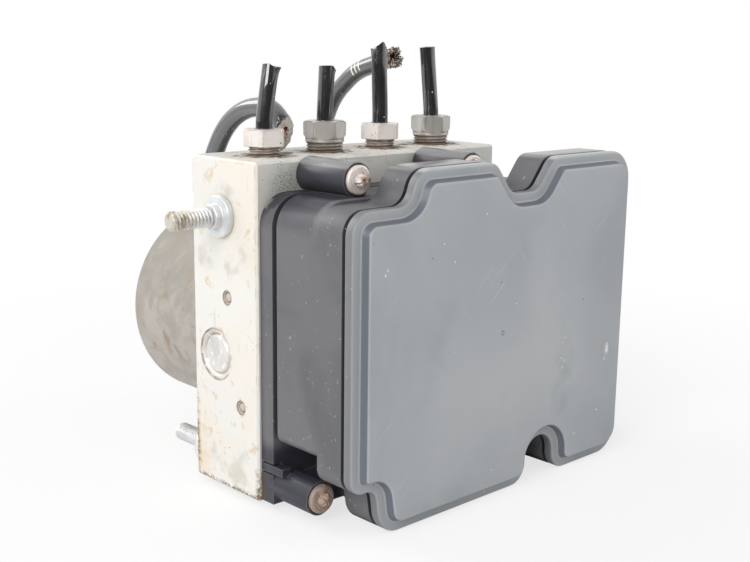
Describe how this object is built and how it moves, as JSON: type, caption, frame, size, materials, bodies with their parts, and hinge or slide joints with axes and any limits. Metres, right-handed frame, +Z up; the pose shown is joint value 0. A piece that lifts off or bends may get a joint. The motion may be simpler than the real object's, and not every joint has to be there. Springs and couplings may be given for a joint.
{
  "type": "abs brake module",
  "caption": "Anti-lock brake modulator: aluminium valve block with round pump motor, plastic control unit, flare nuts and cut pipe stubs.",
  "frame": {"origin": "centre of the valve block's bottom face", "axes": "+Z up along the outlet ports, +Y from the control unit to the pump motor along the motor's axis, +X to the side where the control unit overhangs the block"},
  "size_m": [0.1504, 0.1366, 0.1407],
  "materials": {
    "block_aluminium": "as extruded, dull cream-white oxide with grime",
    "plug_steel": "plain steel, slightly rusty",
    "zinc_steel": "pale zinc plating, dirty thread",
    "nut_plating": "pinkish silver plating",
    "pipe_coating_black": "glossy black coating",
    "pipe_coating_grey": "dark grey satin coating",
    "motor_steel": "warm grey steel, mottled",
    "ferrite": "dull ferrite",
    "bright_steel": "ground steel",
    "bush_bronze": "sintered bronze",
    "core_steel": "stacked steel sheets",
    "copper_wire": "enamelled copper",
    "inner_plastic": "moulded",
    "carbon": "carbon",
    "contact_brass": "tinned brass",
    "coil_steel": "coated yoke over enamelled wire",
    "housing_plastic": "charcoal glass-filled plastic",
    "gasket_rubber": "soft rubber",
    "board_laminate": "green laminate",
    "screw_steel": "pinkish steel, slightly rusty",
    "lid_plastic": "blue-grey plastic"
  },
  "bodies": {
    "modulator": {"hydraulic_block": "block_aluminium", "sealing_plugs": "plug_steel", "mounting_studs": "zinc_steel", "small_flare_nuts": "nut_plating", "large_flare_nuts": "nut_plating", "inlet_flare_nuts": "nut_plating", "outlet_pipe_1": "pipe_coating_black", "outlet_pipe_2": "pipe_coating_black", "outlet_pipe_3": "pipe_coating_black", "outlet_pipe_4": "pipe_coating_black", "inlet_pipe_left": "pipe_coating_grey", "inlet_pipe_right": "pipe_coating_grey", "motor_can": "motor_steel", "motor_screws": "zinc_steel", "magnets": "ferrite", "front_bearing": "bright_steel", "shaft_bushes": "bush_bronze", "brush_plate": "inner_plastic", "brushes": "carbon", "brush_springs": "bright_steel", "motor_lead_carrier": "inner_plastic", "motor_lead_pins": "contact_brass", "pump_sleeves": "bright_steel", "pump_spring_left": "bright_steel", "pump_spring_right": "bright_steel", "pump_plugs": "plug_steel", "accumulator_spring_left": "bright_steel", "accumulator_spring_right": "bright_steel", "accumulator_caps": "plug_steel", "valve_bodies": "bright_steel", "valve_springs": "bright_steel", "valve_coils": "coil_steel", "control_unit_housing": "housing_plastic", "housing_gasket": "gasket_rubber", "circuit_board": "board_laminate", "connector_pins": "contact_brass", "control_unit_screws": "screw_steel", "control_unit_lid": "lid_plastic"},
    "rotor": {"motor_shaft": "bright_steel", "eccentric_ring": "bright_steel", "armature_core": "core_steel", "armature_winding": "copper_wire", "commutator": "copper_wire"},
    "pump_piston_left_body": {"pump_piston_left": "bright_steel"},
    "pump_piston_right_body": {"pump_piston_right": "bright_steel"},
    "accumulator_piston_left_body": {"accumulator_piston_left": "block_aluminium"},
    "accumulator_piston_right_body": {"accumulator_piston_right": "block_aluminium"},
    "valve_armature_1_body": {"valve_armature_1": "bright_steel"},
    "valve_armature_2_body": {"valve_armature_2": "bright_steel"},
    "valve_armature_3_body": {"valve_armature_3": "bright_steel"},
    "valve_armature_4_body": {"valve_armature_4": "bright_steel"},
    "valve_armature_5_body": {"valve_armature_5": "bright_steel"},
    "valve_armature_6_body": {"valve_armature_6": "bright_steel"},
    "valve_armature_7_body": {"valve_armature_7": "bright_steel"},
    "valve_armature_8_body": {"valve_armature_8": "bright_steel"}
  },
  "joints": [
    {"name": "rotor_spin", "type": "hinge", "parent": "modulator", "child": "rotor", "pos_m": [-0.0025, 0, 0.043], "axis": [0, 1, 0], "continuous": true},
    {"name": "pump_piston_left_slide", "type": "slide", "parent": "modulator", "child": "pump_piston_left_body", "axis": [-1, 0, 0], "range_m": [0, 0.002], "stiffness_N_per_m": 800},
    {"name": "pump_piston_right_slide", "type": "slide", "parent": "modulator", "child": "pump_piston_right_body", "axis": [1, 0, 0], "range_m": [0, 0.002], "stiffness_N_per_m": 800},
    {"name": "accumulator_piston_left_slide", "type": "slide", "parent": "modulator", "child": "accumulator_piston_left_body", "axis": [0, 0, -1], "range_m": [0, 0.009], "stiffness_N_per_m": 600, "springref_m": -0.004, "deforming": ["accumulator_spring_left"]},
    {"name": "accumulator_piston_right_slide", "type": "slide", "parent": "modulator", "child": "accumulator_piston_right_body", "axis": [0, 0, -1], "range_m": [0, 0.009], "stiffness_N_per_m": 600, "springref_m": -0.004, "deforming": ["accumulator_spring_right"]},
    {"name": "valve_1_slide", "type": "slide", "parent": "modulator", "child": "valve_armature_1_body", "axis": [0, 1, 0], "range_m": [0, 0.0003], "stiffness_N_per_m": 1000, "springref_m": -0.001},
    {"name": "valve_2_slide", "type": "slide", "parent": "modulator", "child": "valve_armature_2_body", "axis": [0, 1, 0], "range_m": [0, 0.0003], "stiffness_N_per_m": 1000, "springref_m": -0.001},
    {"name": "valve_3_slide", "type": "slide", "parent": "modulator", "child": "valve_armature_3_body", "axis": [0, 1, 0], "range_m": [0, 0.0003], "stiffness_N_per_m": 1000, "springref_m": -0.001},
    {"name": "valve_4_slide", "type": "slide", "parent": "modulator", "child": "valve_armature_4_body", "axis": [0, 1, 0], "range_m": [0, 0.0003], "stiffness_N_per_m": 1000, "springref_m": -0.001},
    {"name": "valve_5_slide", "type": "slide", "parent": "modulator", "child": "valve_armature_5_body", "axis": [0, 1, 0], "range_m": [0, 0.0003], "stiffness_N_per_m": 1000, "springref_m": -0.001},
    {"name": "valve_6_slide", "type": "slide", "parent": "modulator", "child": "valve_armature_6_body", "axis": [0, 1, 0], "range_m": [0, 0.0003], "stiffness_N_per_m": 1000, "springref_m": -0.001},
    {"name": "valve_7_slide", "type": "slide", "parent": "modulator", "child": "valve_armature_7_body", "axis": [0, 1, 0], "range_m": [0, 0.0003], "stiffness_N_per_m": 1000, "springref_m": -0.001},
    {"name": "valve_8_slide", "type": "slide", "parent": "modulator", "child": "valve_armature_8_body", "axis": [0, 1, 0], "range_m": [0, 0.0003], "stiffness_N_per_m": 1000, "springref_m": -0.001}
  ]
}
